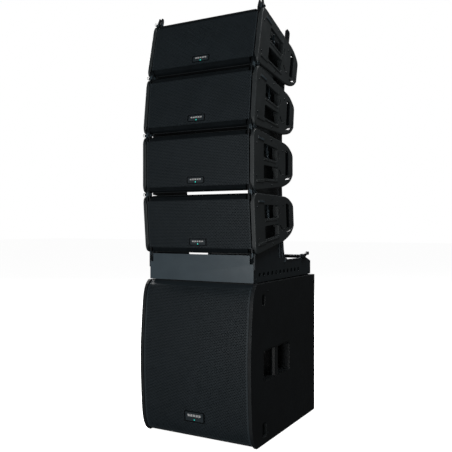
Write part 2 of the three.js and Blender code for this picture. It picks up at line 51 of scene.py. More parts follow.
# ------------------------------------------------------------------ dimensions
# Array module, in its own frame: y back from the front, z up from the hinge line below.
AXIS_Y = 0.015            # hinge pins behind the front
HALF = 0.259              # outer face of a cheek
PROUD = 0.0025            # rails and pads stand out of it by this much
GRILLE_HALF = 0.236
CORNER = (0.222, 0.027)   # cut out of each grille corner: inner x, height
SHEET = 0.0012            # grille sheet thickness
FACE_Y = -0.0015          # front face of a grille
HOLE_PITCH = 0.0068
HOLE_SHARE = 0.40         # hole corner radius over pitch
FORK_IN, FORK_OUT = 0.228, 0.2465
CAB_REAR = 0.334
TOP_PIN = (-0.20956, 1.71102)   # pins in the forks on top of the stack: y and z in the shared frame

FRAME = {"half": 0.241, "front": -0.2783, "foot": 0.634, "notch": 0.706, "notch_x": 0.225, "crest": 0.740,
         "holes": 11, "first_hole": -0.225, "hole_pitch": 0.0391, "hole_z": 0.663}

SUB_HALF = 0.255
SUB_FRONT = -0.276
SUB_PANEL = 0.320         # floor of the recess that holds the rear panel
SUB_TOP = 0.630

PLATE_BARS = 5            # plain bars in place of lettering

CAMERA_AT = (1.2999, -2.4056, 0.8532)
CAMERA_TURN = 29          # degrees to the right of straight ahead of the front
CAMERA_LENS = 49.6        # millimetres on a 36 mm sensor
# Name, place, target, size and watts.
LIGHTS = (("front", (0.55, -4.6, 0.55), (0, 0, 0.7), (2.4, 1.4), 150),
          ("overhead", (1.3, 0.2, 3.5), (0.2, 0, 1.3), (1.2, 1.2), 48),
          ("back", (-1.2, 3.0, 4.0), (0, 0.2, 0.9), (1.8, 1.8), 210),
          ("left", (-3.2, 0.8, 2.9), (0, 0.1, 0.9), (1.8, 1.4), 130))
FLOOR_REACH = 30
FLOOR_GLOW = 0.93         # keeps the floor as pale as the background behind it
FILL = 0.05               # strength of the world's light on the object

# Head radii of the screws, by where they sit.
SCREW = {"cheek": 0.0036, "module_panel": 0.0028, "sub_panel": 0.0034, "sub_side": 0.0038, "frame": 0.0045}

SOFT_ANGLE = 35           # edges sharper than this many degrees are softened

SIDES = (("left", -1), ("right", 1))
MODULES = (4, 3, 2, 1)


# ------------------------------------------------------------------- materials
class Shader:
    """A principled material with object-space noise for its colour, gloss and relief."""

    def __init__(self, name, color, roughness, metallic=0.0, specular=0.5):
        self.mat = bpy.data.materials.new(name)
        self.mat.use_nodes = True
        tree = self.mat.node_tree
        self.nodes, self.links = tree.nodes, tree.links
        self.bsdf = self.nodes["Principled BSDF"]
        self.bsdf.inputs["Base Color"].default_value = (*color, 1)
        self.bsdf.inputs["Roughness"].default_value = roughness
        self.bsdf.inputs["Metallic"].default_value = metallic
        self.bsdf.inputs["Specular IOR Level"].default_value = specular
        self.color, self.roughness = color, roughness
        self.coords = self.nodes.new("ShaderNodeTexCoord").outputs["Object"]
        self.height = None

    def noise(self, size, detail=2.0, stretch=(1, 1, 1)):
        """A noise value between 0 and 1 with features of about that size, in metres."""
        mapping = self.nodes.new("ShaderNodeMapping")
        mapping.inputs["Scale"].default_value = stretch
        self.links.new(self.coords, mapping.inputs["Vector"])
        tex = self.nodes.new("ShaderNodeTexNoise")
        tex.inputs["Scale"].default_value = 1 / size
        tex.inputs["Detail"].default_value = detail
        self.links.new(mapping.outputs["Vector"], tex.inputs["Vector"])
        return tex.outputs["Fac"]

    def ramp(self, value, low, high, out_low, out_high):
        """Maps the span low to high onto out_low to out_high."""
        node = self.nodes.new("ShaderNodeMapRange")
        for key, number in (("From Min", low), ("From Max", high), ("To Min", out_low), ("To Max", out_high)):
            node.inputs[key].default_value = number
        self.links.new(value, node.inputs["Value"])
        return node.outputs["Result"]

    def mottle(self, size, other, detail=3.0, stretch=(1, 1, 1), low=0.35, high=0.65):
        """Drifts the colour towards another one."""
        source = self.bsdf.inputs["Base Color"]
        mix = self.nodes.new("ShaderNodeMix")
        mix.data_type = "RGBA"
        if source.is_linked:
            self.links.new(source.links[0].from_socket, mix.inputs["A"])
        else:
            mix.inputs["A"].default_value = (*self.color, 1)
        mix.inputs["B"].default_value = (*other, 1)
        self.links.new(self.ramp(self.noise(size, detail, stretch), low, high, 0, 1), mix.inputs["Factor"])
        self.links.new(mix.outputs["Result"], source)
        return self

    def gloss(self, size, low, high, stretch=(1, 1, 1)):
        """Varies the roughness between two values."""
        value = self.ramp(self.noise(size, 3.0, stretch), 0.3, 0.7, low, high)
        self.links.new(value, self.bsdf.inputs["Roughness"])
        return self

    def relief(self, size, depth, detail=2.0, stretch=(1, 1, 1), strength=0.6):
        """Adds bumps of that size and depth, in metres."""
        bump = self.nodes.new("ShaderNodeBump")
        bump.inputs["Strength"].default_value = strength
        bump.inputs["Distance"].default_value = depth
        self.links.new(self.noise(size, detail, stretch), bump.inputs["Height"])
        if self.height is not None:
            self.links.new(self.height, bump.inputs["Normal"])
        self.height = bump.outputs["Normal"]
        self.links.new(self.height, self.bsdf.inputs["Normal"])
        return self


def grey(value, tint=(0.70, 1.0, 1.2)):
    """A grey with the cool cast of the photographed finish."""
    return tuple(value * t for t in tint)


def make_materials():
    made = {}

    def add(slot, shader):
        made[slot] = shader.mat

    add("module_shell", Shader("module_shell", grey(0.006), 0.62, specular=0.22)
        .mottle(0.05, grey(0.009)).relief(0.0016, 0.00025).gloss(0.02, 0.55, 0.7))
    add("cheek", Shader("cheek", grey(0.0215, (0.82, 1, 1.06)), 0.5, specular=0.4)
        .mottle(0.08, grey(0.0265, (0.82, 1, 1.06))).relief(0.0013, 0.00018).gloss(0.03, 0.42, 0.56))
    add("grille", Shader("grille", grey(0.021), 0.5, specular=0.3)
        .mottle(0.10, grey(0.024)).relief(0.0006, 0.00005).gloss(0.04, 0.45, 0.6))
    add("foam", Shader("foam", grey(0.007), 0.95, specular=0.1)
        .mottle(0.002, grey(0.010)).relief(0.0015, 0.0008))
    # Dark material: the real colour of the pin knobs, and painted shade on the grille folds, in the handle
    # slots, and in the frame's gaps and holes.
    add("trim_and_painted_shade", Shader("trim_and_painted_shade", grey(0.0052), 0.8, specular=0.06)
        .mottle(0.03, grey(0.0070)).relief(0.001, 0.0001))
    add("badge", Shader("badge", grey(0.004), 0.16, specular=0.5)
        .mottle(0.01, grey(0.006)).gloss(0.01, 0.14, 0.24))
    add("rigging", Shader("rigging", grey(0.006), 0.45, metallic=0.2, specular=0.3)
        .mottle(0.02, grey(0.010)).gloss(0.008, 0.38, 0.52).relief(0.0009, 0.00006))
    add("zinc", Shader("zinc", grey(0.07), 0.48, metallic=0.3, specular=0.4)
        .mottle(0.02, grey(0.05)).gloss(0.008, 0.42, 0.55).relief(0.0009, 0.00006))
    add("bright_steel", Shader("bright_steel", grey(0.42, (1, 1, 0.99)), 0.3, metallic=1.0)
        .mottle(0.012, grey(0.3, (1, 0.99, 0.95))).gloss(0.006, 0.22, 0.38)
        .relief(0.0008, 0.00003, stretch=(0.15, 1, 1)))
    # Frame paint, darker than the front panel's: painted shade on the frame's sides.
    add("frame", Shader("frame", grey(0.016), 0.42, metallic=0.15, specular=0.4)
        .mottle(0.06, grey(0.020)).relief(0.0010, 0.00007).gloss(0.03, 0.36, 0.5))
    # The same frame paint made lighter for the front face: painted light where the front lamp falls.
    add("frame_front_painted_light", Shader("frame_front_painted_light", grey(0.056), 0.5, specular=0.4)
        .mottle(0.09, grey(0.063)).relief(0.0010, 0.00007).gloss(0.03, 0.46, 0.56))
    # A lighter copy of the frame paint for the side ribs: painted highlight along them.
    add("frame_rib_painted_highlight", Shader("frame_rib_painted_highlight", grey(0.032), 0.5, specular=0.4)
        .mottle(0.05, grey(0.038)).relief(0.0010, 0.00007).gloss(0.03, 0.44, 0.56))
    add("bass_shell", Shader("bass_shell", grey(0.0055), 0.58, specular=0.3)
        .mottle(0.07, grey(0.0075)).relief(0.0022, 0.0005, detail=4.0).gloss(0.02, 0.5, 0.68))
    add("grip", Shader("grip", grey(0.004), 0.45, specular=0.4)
        .mottle(0.02, grey(0.006)).relief(0.0012, 0.0002).gloss(0.01, 0.38, 0.5))
    add("rubber", Shader("rubber", grey(0.006), 0.8, specular=0.3)
        .mottle(0.01, grey(0.010)).relief(0.001, 0.0002))
    add("electronics", Shader("electronics", grey(0.014), 0.4, metallic=0.6, specular=0.4)
        .mottle(0.03, grey(0.019)).gloss(0.01, 0.32, 0.46).relief(0.0007, 0.00004, stretch=(0.2, 1, 1)))
    add("woofer", Shader("woofer", grey(0.01), 0.7, specular=0.3)
        .mottle(0.004, grey(0.016)).relief(0.0012, 0.0003))
    add("horn", Shader("horn", grey(0.008), 0.4, specular=0.4)
        .mottle(0.02, grey(0.011)).relief(0.001, 0.0001))
    add("strip", Shader("strip", grey(0.42, (1, 1, 1)), 0.4)
        .mottle(0.004, grey(0.34, (1, 1, 1)), stretch=(0.1, 1, 1)).gloss(0.003, 0.34, 0.46))
    add("badge_face", Shader("badge_face", grey(0.020), 0.4, specular=0.4)
        .mottle(0.006, grey(0.026), stretch=(0.1, 1, 1)).gloss(0.004, 0.34, 0.46))
    add("nylon", Shader("nylon", grey(0.010), 0.42, specular=0.4)
        .mottle(0.006, grey(0.014)).gloss(0.004, 0.3, 0.45))
    led = Shader("led", (0.01, 0.35, 0.3), 0.25).mottle(0.001, (0.02, 0.5, 0.42))
    led.bsdf.inputs["Emission Color"].default_value = (0.02, 0.75, 0.6, 1)
    led.bsdf.inputs["Emission Strength"].default_value = 0.7
    add("led", led)
    return made


MATERIALS = make_materials()


# ----------------------------------------------------------------- mesh making
def on_axis(axis, a, b, c):
    """A point at c along the axis, with a and b in the other two axes, in x, y, z order."""
    return {"x": (c, a, b), "y": (a, c, b), "z": (a, b, c)}[axis]


def round_points(axis, a, b, radius, c, segments):
    """A ring of points about an axis through (a, b)."""
    turns = [math.tau * i / segments for i in range(segments)]
    return [on_axis(axis, a + radius * math.cos(t), b + radius * math.sin(t), c) for t in turns]


class Build:
    """Collects simple shapes into one mesh."""

    def __init__(self):
        self.bm = bmesh.new()

    def faces(self, points, polygons):
        verts = [self.bm.verts.new(p) for p in points]
        for polygon in polygons:
            self.bm.faces.new([verts[i] for i in polygon])
        return self

    def prism(self, outline, axis, span):
        """An outline in the other two axes, in x, y, z order, swept along axis."""
        count = len(outline)
        points = [on_axis(axis, a, b, c) for c in span for a, b in outline]
        ends = [tuple(reversed(range(count))), tuple(range(count, 2 * count))]
        walls = [(i, (i + 1) % count, count + (i + 1) % count, count + i) for i in range(count)]
        return self.faces(points, ends + walls)

    def block(self, x, y, z):
        return self.prism([(x[0], y[0]), (x[1], y[0]), (x[1], y[1]), (x[0], y[1])], "z", z)

    def lathe(self, axis, a, b, profile, segments=20):
        """Rings of (radius, place along axis) about an axis through (a, b); closed by caps at both ends."""
        points, polygons = [], []
        for radius, c in profile:
            points += round_points(axis, a, b, radius, c, segments)
        for k in range(len(profile) - 1):
            for i in range(segments):
                j = (i + 1) % segments
                polygons.append((k * segments + i, k * segments + j,
                                 (k + 1) * segments + j, (k + 1) * segments + i))
        last = (len(profile) - 1) * segments
        polygons.append(tuple(reversed(range(segments))))
        polygons.append(tuple(range(last, last + segments)))
        return self.faces(points, polygons)

    def rod(self, axis, a, b, radius, span, segments=20, chamfer=0.0):
        lo, hi = min(span), max(span)
        if not chamfer:
            return self.lathe(axis, a, b, [(radius, lo), (radius, hi)], segments)
        small = radius - chamfer
        profile = [(small, lo), (radius, lo + chamfer), (radius, hi - chamfer), (small, hi)]
        return self.lathe(axis, a, b, profile, segments)

    def sleeve(self, axis, a, b, inner, outer, span, segments=16):
        """A plain tube about an axis through (a, b)."""
        lo, hi = min(span), max(span)
        points, polygons = [], []
        for radius, c in ((inner, lo), (outer, lo), (outer, hi), (inner, hi)):
            points += round_points(axis, a, b, radius, c, segments)
        for k in range(4):
            here, there = k * segments, (k + 1) % 4 * segments
            for i in range(segments):
                j = (i + 1) % segments
                polygons.append((here + i, here + j, there + j, there + i))
        return self.faces(points, polygons)

    def ring(self, center, normal, major, minor, around=28, section=8):
        """A torus."""
        n = Vector(normal).normalized()
        u = n.orthogonal().normalized()
        v = n.cross(u)
        points, polygons = [], []
        for i in range(around):
            out = u * math.cos(math.tau * i / around) + v * math.sin(math.tau * i / around)
            for j in range(section):
                a = math.tau * j / section
                points.append(Vector(center) + out * (major + minor * math.cos(a)) + n * minor * math.sin(a))
        for i in range(around):
            for j in range(section):
                a, b = i * section, ((i + 1) % around) * section
                k = (j + 1) % section
                polygons.append((a + j, b + j, b + k, a + k))
        return self.faces(points, polygons)

    def piece(self, name, material, body, place=None, bevel=0.0, instead_of=()):
        """Turns what was collected into an object that rides on a CAD body."""
        bm = self.bm
        bmesh.ops.recalc_face_normals(bm, faces=bm.faces)
        if bevel:
            limit = math.radians(SOFT_ANGLE)
            sharp = [e for e in bm.edges if len(e.link_faces) == 2 and e.calc_face_angle() > limit]
            bmesh.ops.bevel(bm, geom=sharp, offset=bevel, segments=2, profile=0.7, affect="EDGES",
                            clamp_overlap=True)
        if place:
            bmesh.ops.transform(bm, matrix=place, verts=bm.verts)
        mesh = bpy.data.meshes.new(name)
        bm.to_mesh(mesh)
        bm.free()
        put(mesh, name, material, body, instead_of)


def put(mesh, name, material, body, instead_of):
    """Adds a mesh to the scene and makes it ride on a CAD body."""
    mesh.polygons.foreach_set("use_smooth", [True] * len(mesh.polygons))
    mesh.set_sharp_from_angle(angle=math.radians(SOFT_ANGLE))
    mesh.materials.append(MATERIALS[material])
    obj = bpy.data.objects.new(name, mesh)
    bpy.context.scene.collection.objects.link(obj)
    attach(obj, body)
    if instead_of:
        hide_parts(*instead_of)


def dress(node, material, edge=0.0):
    """Gives a CAD node its finish, with softened edges."""
    obj = NODES[node]
    obj.data.materials.clear()
    obj.data.materials.append(MATERIALS[material])
    obj.data.polygons.foreach_set("use_smooth", [False] * len(obj.data.polygons))
    if not edge:
        return
    weld = obj.modifiers.new("weld", "WELD")
    weld.merge_threshold = 2e-5
    planes = obj.modifiers.new("planes", "DECIMATE")
    planes.decimate_type = "DISSOLVE"
    planes.angle_limit = math.radians(0.4)
    whole = obj.modifiers.new("triangles", "TRIANGULATE")
    whole.min_vertices = 5
    soft = obj.modifiers.new("edges", "BEVEL")
    soft.width = edge
    soft.segments = 2
    soft.limit_method = "ANGLE"
    soft.angle_limit = math.radians(SOFT_ANGLE)
    soft.harden_normals = False
    soft.use_clamp_overlap = False


def rounded(x0, x1, z0, z1, r, steps=5):
    """A rectangle with round corners, anticlockwise."""
    out = []
    for cx, cz, start in ((x1 - r, z1 - r, 0), (x0 + r, z1 - r, 90),
                          (x0 + r, z0 + r, 180), (x1 - r, z0 + r, 270)):
        for i in range(steps + 1):
            a = math.radians(start + 90 * i / steps)
            out.append((cx + r * math.cos(a), cz + r * math.sin(a)))
    return out


# --------------------------------------------------------------------- grilles
def perforated(build, width, path, columns, sheet=SHEET, share=HOLE_SHARE):
    """Six-sided holes in staggered rows over a strip as wide as width, whose rows follow the points of
    path, from bottom to top. Each path point is (y, z, normal y, normal z), two points to a row."""
    pitch = width / (columns + 0.5)
    rows = (len(path) - 1) // 2
    bm = build.bm
    cache = {}

    def vert(column, line, depth=0):
        """column counts half pitches from the left edge; line counts half rows."""
        key = (column, line, depth)
        if key not in cache:
            y, z, ny, nz = path[line]
            cache[key] = bm.verts.new((column * pitch / 2 - width / 2, y - ny * depth, z - nz * depth))
        return cache[key]

    for row in range(rows):
        foot, mid, head = path[2 * row], path[2 * row + 1], path[2 * row + 2]
        rise = math.hypot(head[0] - foot[0], head[1] - foot[1]) / 2
        up = Vector((0, head[0] - foot[0], head[1] - foot[1])).normalized()
        normal = Vector((0, mid[2], mid[3]))
        stagger = row % 2
        for column in range(columns):
            left = 2 * column + stagger
            frame_ring = [vert(left, 2 * row), vert(left + 1, 2 * row), vert(left + 2, 2 * row),
                          vert(left + 2, 2 * row + 2), vert(left + 1, 2 * row + 2), vert(left, 2 * row + 2)]
            centre = Vector(((left + 1) * pitch / 2 - width / 2, mid[0], mid[1]))
            radius = share * pitch
            spots = [centre + Vector((1, 0, 0)) * radius * math.sin(math.radians(t))
                     + up * radius * math.cos(math.radians(t)) * min(1, rise / (pitch * 0.433))
                     for t in (240, 180, 120, 60, 0, 300)]
            rim = [bm.verts.new(p) for p in spots]
            back = [bm.verts.new(p - normal * sheet) for p in spots]
            for i in range(6):
                j = (i + 1) % 6
                bm.faces.new((frame_ring[i], frame_ring[j], rim[j], rim[i]))
                bm.faces.new((rim[i], rim[j], back[j], back[i]))
        edge = 0 if stagger else 2 * columns
        bm.faces.new((vert(edge, 2 * row), vert(edge + 1, 2 * row),
                      vert(edge + 1, 2 * row + 2), vert(edge, 2 * row + 2)))


def straight_path(y, z0, z1, rows):
    """A flat, upright path for perforated."""
    return [(y, z0 + (z1 - z0) * i / (2 * rows), -1.0, 0.0) for i in range(2 * rows + 1)]


def fillet(points, radius, steps=4):
    """Rounds the inner corners of an open line."""
    out = [points[0]]
    for before, at, after in zip(points, points[1:], points[2:]):
        a, p, b = Vector(before), Vector(at), Vector(after)
        ra = min(radius, (a - p).length * 0.45)
        rb = min(radius, (b - p).length * 0.45)
        s, e = p + (a - p).normalized() * ra, p + (b - p).normalized() * rb
        for i in range(steps + 1):
            t = i / steps
            out.append(tuple(s * (1 - t) ** 2 + p * 2 * t * (1 - t) + e * t * t))
    return out + [points[-1]]


def module_grille(n, place, pitch, body):
    """Perforated face, folded edges coloured dark as painted shade, and the foam behind them."""
    build = Build()
    half_hole, rim_z = GRILLE_HALF - 0.002, CORNER[1] + 0.001
    columns = round(2 * half_hole / HOLE_PITCH - 0.5)
    rows = round((pitch - 2 * rim_z) / (HOLE_PITCH * 0.866))
    perforated(build, 2 * half_hole, straight_path(FACE_Y, rim_z, pitch - rim_z, rows), columns)
    for s in (-1, 1):
        build.block(sorted((s * half_hole, s * GRILLE_HALF)), (FACE_Y, FACE_Y + SHEET),
                    (CORNER[1], pitch - CORNER[1]))
    build.piece(f"m{n}_face", "grille", body, place=place, instead_of=[f"m{n}_grille"])
    # Folded edges: the sheet turns back above and below the flat, coloured darker than the face as painted
    # shade on the folds.
    build = Build()
    corners = [(FACE_Y, rim_z), (FACE_Y, 0.022), (0.002, 0.0140), (0.008, 0.0095), (0.0176, 0.0080)]
    bend = fillet(corners, 0.004)
    for line in (bend, [(y, pitch - z) for y, z in bend]):
        inner = [(y + SHEET * 0.9, z + (SHEET * 0.7 if line is bend else -SHEET * 0.7)) for y, z in line]
        build.prism(line + inner[::-1], "x", (-CORNER[0], CORNER[0]))
    build.piece(f"m{n}_grille_trim", "trim_and_painted_shade", body, place=place)
    foam = Build()
    lower = [(-0.234, 0.030), (-0.219, 0.030), (-0.219, 0.014),
             (0.219, 0.014), (0.219, 0.030), (0.234, 0.030)]
    upper = [(x, pitch - z) for x, z in reversed(lower)]
    foam.prism(lower + upper, "y", (FACE_Y + 0.003, FACE_Y + 0.007))
    foam.piece(f"m{n}_foam", "foam", body, place=place)


def nameplate(tag, place, width, height, depth, body, instead_of):
    """A rounded plate with a raised rim, a row of plain pale bars and a pilot light."""
    w, h = width / 2, height / 2
    plate = Build()
    plate.prism(rounded(-w, w, -h, h, 0.004), "y", (-depth * 0.45, 0))
    rim = 0.0022
    outer, inner = rounded(-w, w, -h, h, 0.004), rounded(-w + rim, w - rim, -h + rim, h - rim, 0.003)
    count = len(outer)
    points = [(x, y, z) for y in (-depth * 0.45, -depth) for line in (outer, inner) for x, z in line]
    o0, i0, o1, i1 = 0, count, 2 * count, 3 * count
    rings = []
    for i in range(count):
        j = (i + 1) % count
        rings += [(o0 + i, o0 + j, o1 + j, o1 + i), (i0 + j, i0 + i, i1 + i, i1 + j),
                  (o1 + i, o1 + j, i1 + j, i1 + i)]
    plate.faces(points, rings)
    plate.piece(f"{tag}_nameplate", "badge", body, place=place, instead_of=[instead_of])
    face = Build()
    face.prism(rounded(-w * 0.88, w * 0.88, -h * 0.80, h * 0.80, 0.0025), "y", (-depth * 0.62, -depth * 0.44))
    face.piece(f"{tag}_plate_face", "badge_face", body, place=place)
    bars = Build()
    step = 1.36 * w / PLATE_BARS
    for k in range(PLATE_BARS):
        x = (k + 0.5 - PLATE_BARS / 2) * step
        bars.prism(rounded(x - step * 0.38, x + step * 0.38, h * 0.02, h * 0.46, 0.0009, 3), "y",
                   (-depth * 0.85, -depth * 0.6))
    bars.piece(f"{tag}_plate_bars", "strip", body, place=place)
    led = Build()
    led.lathe("y", 0, -h * 0.55, [(0.0004, -depth * 1.05), (0.0015, -depth), (0.0021, -depth * 0.8),
                                  (0.0023, -depth * 0.46)], 14)
    led.piece(f"{tag}_led", "led", body, place=place)


# --------------------------------------------------------------------- modules
def pin_point(n):
    """The hinge pin's line under module n; 0 is the fork on top of the stack."""
    if n == 0:
        return Vector((0, *TOP_PIN))
    joint = next(j for j in frame["joints"] if j["name"] == f"splay_{n}")
    return Vector((0, joint["pos_m"][1], joint["pos_m"][2]))


def module_place(n):
    """The module's own frame, and its pitch from hinge line to hinge line."""
    low, high = pin_point(n), pin_point(n - 1)
    lean = math.atan2(high.y - low.y, high.z - low.z)
    place = Matrix.Translation(low) @ Matrix.Rotation(-lean, 4, "X") @ Matrix.Translation((0, -AXIS_Y, 0))
    return place, (high - low).length


def hinge_hardware(n, place, pitch, body):
    """Quick-release pins in the forks on top, with their pull rings, and wear plates at both hinge lines."""
    for side, s in SIDES:
        inner, outer = s * FORK_IN, s * FORK_OUT
        knob = Build()
        knob.rod("x", AXIS_Y, pitch, 0.0058, (outer + s * 0.0004, s * (HALF - 0.0016)), 20, 0.001)
        knob.piece(f"m{n}_pin_knob_{side}", "trim_and_painted_shade", body, place=place)
        pin = Build()
        pin.rod("x", AXIS_Y, pitch, 0.0026, (s * (HALF - 0.0017), s * (HALF - 0.0006)), 16, 0.0004)
        pin.rod("x", AXIS_Y, pitch, 0.0072, (inner - s * 0.0016, inner), 18, 0.0004)
        pin.rod("x", AXIS_Y, pitch, 0.0032, (inner - s * 0.0036, inner - s * 0.0016), 14)
        pin.ring((s * (HALF - 0.003), AXIS_Y - 0.0085, pitch), (1, 0, 0), 0.0062, 0.0009, 24, 8)
        pin.piece(f"m{n}_pin_{side}", "zinc", body, place=place)
        wear = Build()
        wear.block(sorted((s * 0.2347, s * 0.2398)), (0.0046, 0.0058), (-0.006, 0.010))
        wear.block(sorted((s * 0.2412, s * 0.2463)), (0.0046, 0.0058), (pitch - 0.010, pitch + 0.007))
        wear.piece(f"m{n}_wear_plates_{side}", "zinc", body, place=place, bevel=0.0003)


def screw(build, axis, a, b, face, out, radius):
    """A button-head socket screw on a face; out is the direction it stands out."""
    outline = ((1, 0), (1, 0.25), (0.75, 0.55), (0.45, 0.62), (0.40, 0.25))
    build.lathe(axis, a, b, [(radius * r, face + out * radius * h) for r, h in outline], 12)


def cheek_fittings(n, place, pitch, body):
    """Screws, small plate, a dark strip of painted shade in the handle slot, the handle web, and the locking
    gear behind the windows, on both cheeks.
    """
    for side, s in SIDES:
        screws = Build()
        for y, z in ((0.020, 0.060), (0.020, pitch - 0.060), (0.262, 0.080), (0.262, pitch - 0.066),
                     (0.152, pitch - 0.036), (0.152, 0.032)):
            screw(screws, "x", y, z, s * HALF, s, SCREW["cheek"])
        screws.piece(f"m{n}_screws_{side}", "nylon", body, place=place)

        plate = Build()
        plate.prism([(0.032, 0.2035), (0.082, 0.1995), (0.082, 0.2065), (0.032, 0.2105)], "x",
                    sorted((s * (HALF + PROUD - 0.0004), s * (HALF + PROUD + 0.0008))))
        plate.piece(f"m{n}_side_plate_{side}", "zinc", body, place=place, bevel=0.0003)

        # A dark strip on the handle bar's front face in the slot: painted shade where the slot lies in
        # shadow.
        painted_shade_lining = Build()
        middle = s * 0.2455
        painted_shade_lining.prism(rounded(middle - 0.0130, middle + 0.0130, 0.081, 0.178, 0.003), "y", (0.3208, 0.3231))
        painted_shade_lining.piece(f"m{n}_handle_lining_{side}", "trim_and_painted_shade", body, place=place, bevel=0.0006)

        web = Build()
        web.prism([(0.2912, 0.0647), (0.331, 0.0737), (0.3545, 0.0887), (0.3545, 0.091), (0.3224, 0.091),
                   (0.3200, 0.080), (0.2912, 0.078)], "x", sorted((s * 0.2495, s * 0.2582)))
        web.piece(f"m{n}_handle_web_{side}", "cheek", body, place=place, bevel=0.0006)

        latch = Build()
        x, y = s * 0.2405, 0.150
        latch.rod("z", x, y, 0.0042, (0.129, 0.196), 16, 0.0006)
        latch.rod("z", x, y, 0.0072, (0.158, 0.166), 18, 0.0008)
        latch.block(sorted((s * 0.2365, s * 0.2395)), (0.116, 0.143), (0.168, 0.197))
        latch.piece(f"m{n}_latch_{side}", "zinc", body, place=place)
        spring = Build()
        for k in range(7):
            spring.ring((x, y, 0.132 + 0.0036 * k), (0, 0.12, 1), 0.0058, 0.0009, 20, 6)
        spring.piece(f"m{n}_latch_spring_{side}", "zinc", body, place=place)


def rear_fittings(n, place, pitch, body):
    """Connector shells, screws, knob pointer, display glass and light on the module's rear panel."""
    mid, face = pitch / 2, CAB_REAR + 0.0035
    shells = Build()
    for x, z in ((-0.040, 0.014), (-0.040, -0.016), (-0.004, 0.014), (-0.004, -0.016)):
        shells.ring((x, face + 0.0026, mid + z), (0, 1, 0), 0.0098, 0.0011)
        for k in range(3):
            a = math.radians(90 + 120 * k)
            shells.rod("y", x + 0.0042 * math.cos(a), mid + z + 0.0042 * math.sin(a), 0.0011,
                       (face - 0.008, face + 0.0012), 8)
    shells.piece(f"m{n}_sockets", "bright_steel", body, place=place)
    screws = Build()
    for x in (-0.135, -0.06, 0.06, 0.135):
        for z in (-0.034, 0.034):
            screw(screws, "y", x, mid + z, face, 1, SCREW["module_panel"])
    screws.block((0.0912, 0.0928), (face + 0.0115, face + 0.0122), (mid + 0.002, mid + 0.0085))
    screws.piece(f"m{n}_panel_screws", "bright_steel", body, place=place)
    glass = Build()
    glass.prism(rounded(0.031, 0.069, mid - 0.0145, mid + 0.0145, 0.002), "y", (face + 0.0015, face + 0.0022))
    glass.piece(f"m{n}_display", "badge", body, place=place)
    lamp = Build()
    for k in range(3):
        lamp.rod("y", 0.020, mid + 0.012 - 0.012 * k, 0.0014, (face, face + 0.0012), 10, 0.0003)
    lamp.piece(f"m{n}_panel_lights", "led", body, place=place)


def make_module(n):
    """One array module: finishes for its CAD nodes, and its fine pieces."""
    place, pitch = module_place(n)
    body = f"module_{n}"
    for node, material, edge in (("cabinet", "module_shell", 0.0012), ("cheek_left", "cheek", 0.0011),
                                 ("cheek_right", "cheek", 0.0011), ("rigging_left", "rigging", 0.0006),
                                 ("rigging_right", "rigging", 0.0006), ("woofer_left", "woofer", 0),
                                 ("woofer_right", "woofer", 0), ("horn", "horn", 0),
                                 ("amplifier", "electronics", 0.0005)):
        dress(f"m{n}_{node}", material, edge)
    module_grille(n, place, pitch, body)
    badge = place @ Matrix.Translation((0, FACE_Y - 0.0003, 0.051))
    nameplate(f"m{n}", badge, 0.080, 0.026, 0.0024, body, f"m{n}_badge")
    hinge_hardware(n, place, pitch, body)
    cheek_fittings(n, place, pitch, body)
    rear_fittings(n, place, pitch, body)


# ------------------------------------------------------------------- subwoofer
# How far the front stands ahead of the corner line at each height.
BULGE = ((0, 0.630), (0.018, 0.612), (0.030, 0.585), (0.038, 0.545), (0.046, 0.464), (0.0515, 0.390),
         (0.0535, 0.320), (0.052, 0.240), (0.048, 0.160), (0.042, 0.090), (0.034, 0.052), (0.020, 0.022),
         (0, 0.003))


def smooth_line(points, count):
    """Evenly spaced points on a smooth curve through the given ones, with their forward normals."""
    dense = []
    for i in range(len(points) - 1):
        p0, p1, p2, p3 = (Vector(points[min(max(k, 0), len(points) - 1)]) for k in (i - 1, i, i + 1, i + 2))
        for k in range(12):
            t = k / 12
            dense.append(0.5 * (2 * p1 + (p2 - p0) * t + (2 * p0 - 5 * p1 + 4 * p2 - p3) * t * t
                                + (3 * p1 - p0 - 3 * p2 + p3) * t ** 3))
    dense.append(Vector(points[-1]))
    marks = [0.0]
    for a, b in zip(dense, dense[1:]):
        marks.append(marks[-1] + (b - a).length)
    out, k = [], 0
    for i in range(count):
        goal = marks[-1] * i / (count - 1)
        while k < len(marks) - 2 and marks[k + 1] < goal:
            k += 1
        t = (goal - marks[k]) / (marks[k + 1] - marks[k])
        p = dense[k].lerp(dense[k + 1], t)
        d = (dense[k + 1] - dense[k]).normalized()
        out.append((p.x, p.y, -abs(d.y), d.x if d.y > 0 else -d.x))
    return out


